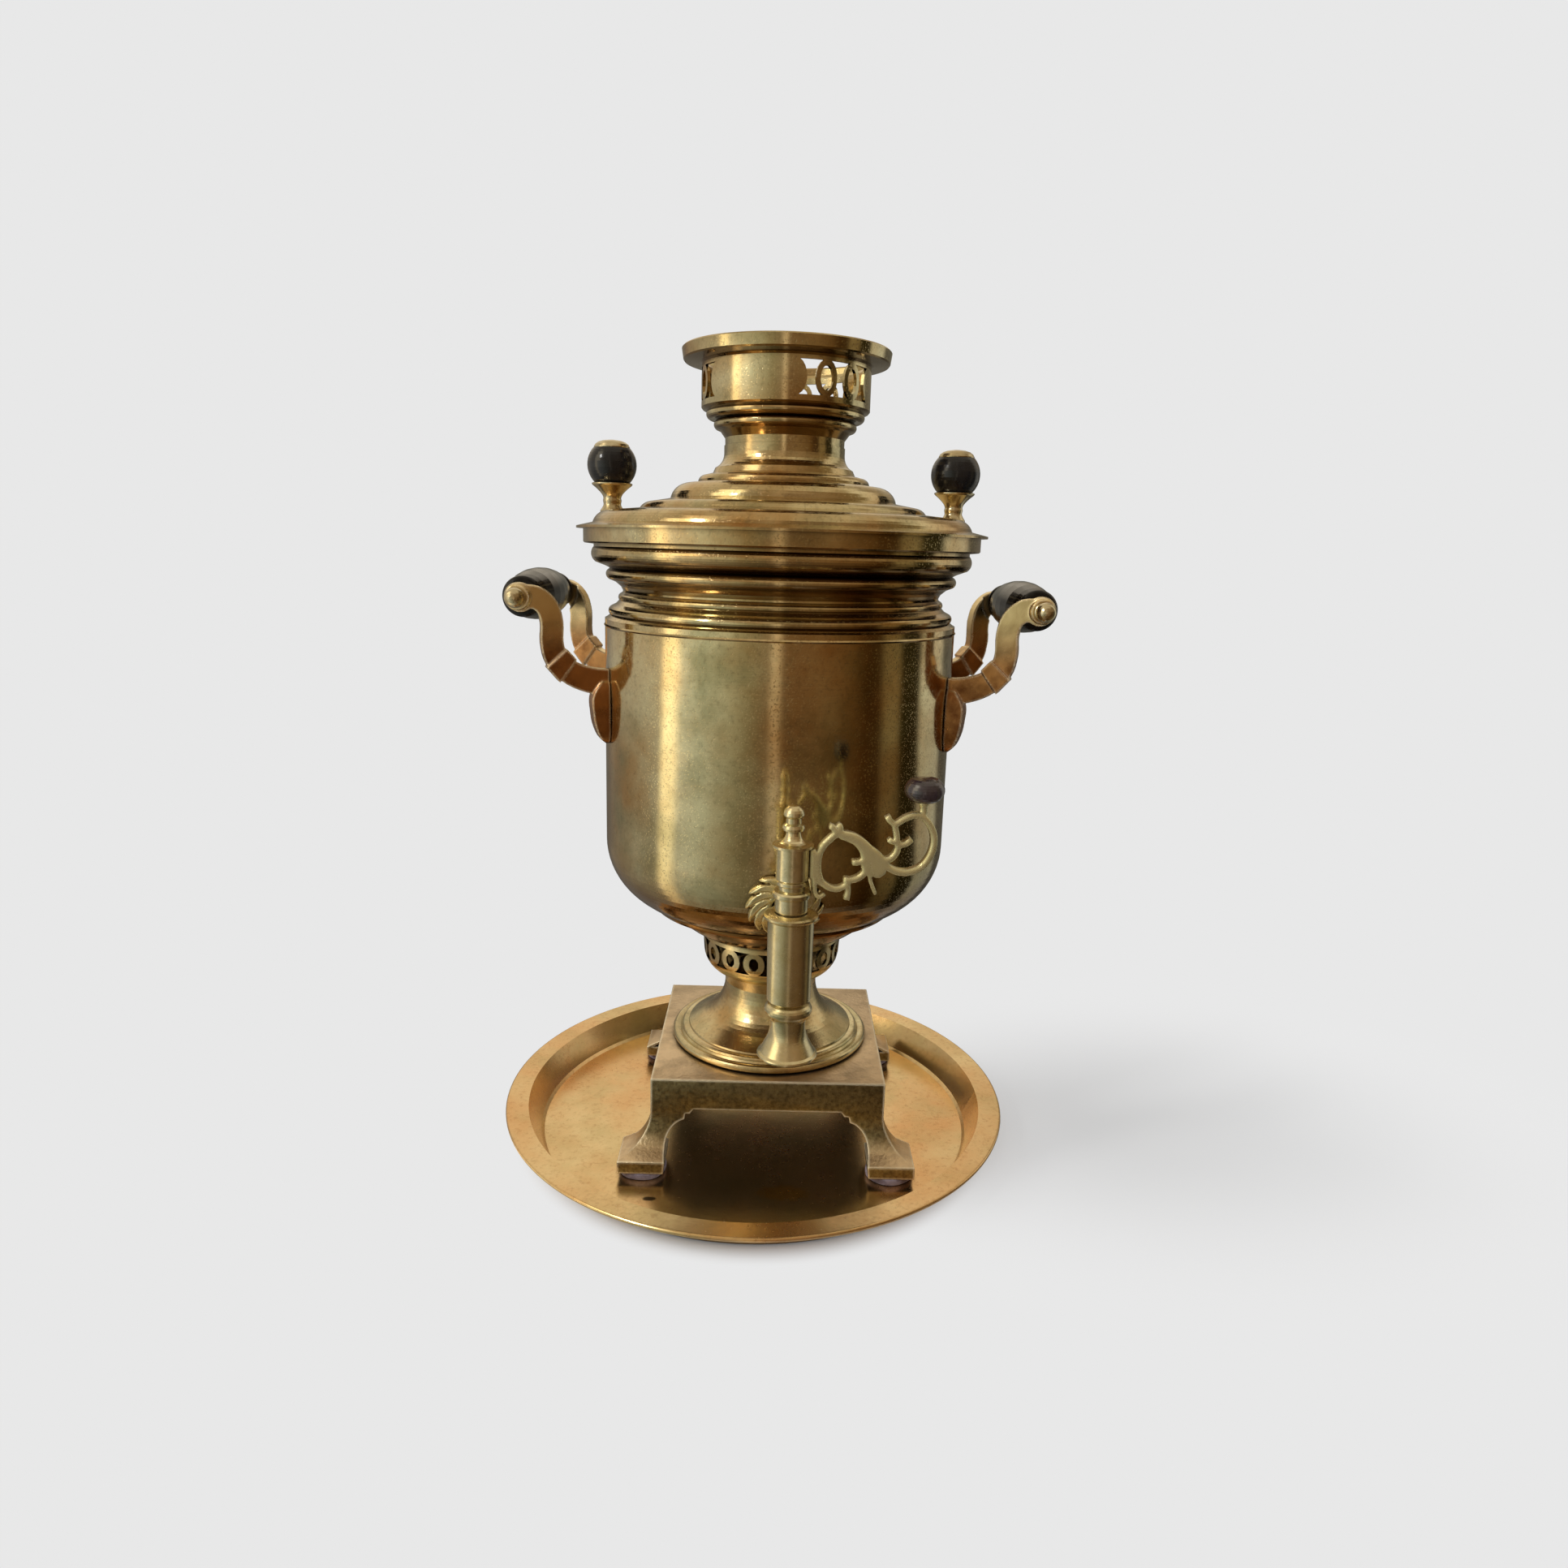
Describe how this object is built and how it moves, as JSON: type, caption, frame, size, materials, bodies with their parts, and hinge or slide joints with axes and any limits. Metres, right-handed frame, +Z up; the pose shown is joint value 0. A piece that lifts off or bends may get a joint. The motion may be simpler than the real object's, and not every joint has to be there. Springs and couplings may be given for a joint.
{
  "type": "samovar",
  "caption": "Cylindrical charcoal samovar of brass on a round tray: lift-off lid and teapot stand, pierced collar, turned side grips and a tap with a scroll key.",
  "frame": {"origin": "on the samovar's vertical axis, in the plane that the tray rests on", "axes": "+Z up along the samovar's axis, -Y towards the tap (the front), +X to the right seen from the front"},
  "size_m": [0.3139, 0.306, 0.457],
  "materials": {
    "sheet_brass": "worn satin",
    "cast_brass": "worn satin",
    "turned_brass": "satin",
    "tray_brass": "stained satin",
    "sooted_brass": "sooted",
    "grate_iron": "matte",
    "black_wood": "gloss lacquer",
    "brown_wood": "gloss lacquer",
    "pad": "matte"
  },
  "bodies": {
    "tray": {"tray": "tray_brass"},
    "samovar": {"plinth": "cast_brass", "foot_pads": "pad", "pedestal": "sheet_brass", "blower_collar": "sheet_brass", "bottom_bowl": "sheet_brass", "body_shell": "sheet_brass", "crown_ring": "sheet_brass", "fire_tube": "sooted_brass", "grate": "grate_iron", "bracket_left_front": "cast_brass", "bracket_left_back": "cast_brass", "bracket_right_front": "cast_brass", "bracket_right_back": "cast_brass", "grip_left": "black_wood", "grip_right": "black_wood", "rod_left": "turned_brass", "rod_right": "turned_brass", "ball_nuts_left": "turned_brass", "ball_nuts_right": "turned_brass", "tap_rosette": "cast_brass", "tap_body": "turned_brass"},
    "lid": {"lid": "sheet_brass", "lid_stem_left": "turned_brass", "lid_stem_right": "turned_brass", "lid_ball_left": "black_wood", "lid_ball_right": "black_wood", "lid_cap_left": "turned_brass", "lid_cap_right": "turned_brass", "lid_nuts": "turned_brass", "vent_seat": "turned_brass"},
    "vent_cap": {"vent_cap": "turned_brass"},
    "teapot_stand": {"teapot_stand": "sheet_brass"},
    "tap_key": {"tap_plug": "turned_brass", "tap_key": "cast_brass", "tap_knob": "brown_wood"}
  },
  "joints": [
    {"name": "samovar_lift", "type": "slide", "parent": "tray", "child": "samovar", "axis": [0, 0, 1], "range_m": [0, 0.05]},
    {"name": "lid_lift", "type": "slide", "parent": "samovar", "child": "lid", "axis": [0, 0, 1], "range_m": [0, 0.07]},
    {"name": "teapot_stand_lift", "type": "slide", "parent": "lid", "child": "teapot_stand", "axis": [0, 0, 1], "range_m": [0, 0.03]},
    {"name": "vent_cap_lift", "type": "slide", "parent": "lid", "child": "vent_cap", "axis": [0, 0, 1], "range_m": [0, 0.02]},
    {"name": "tap_turn", "type": "hinge", "parent": "samovar", "child": "tap_key", "pos_m": [0.00855, -0.13974, 0.18294], "axis": [0, 0, 1], "range_deg": [-215, 35]}
  ]
}
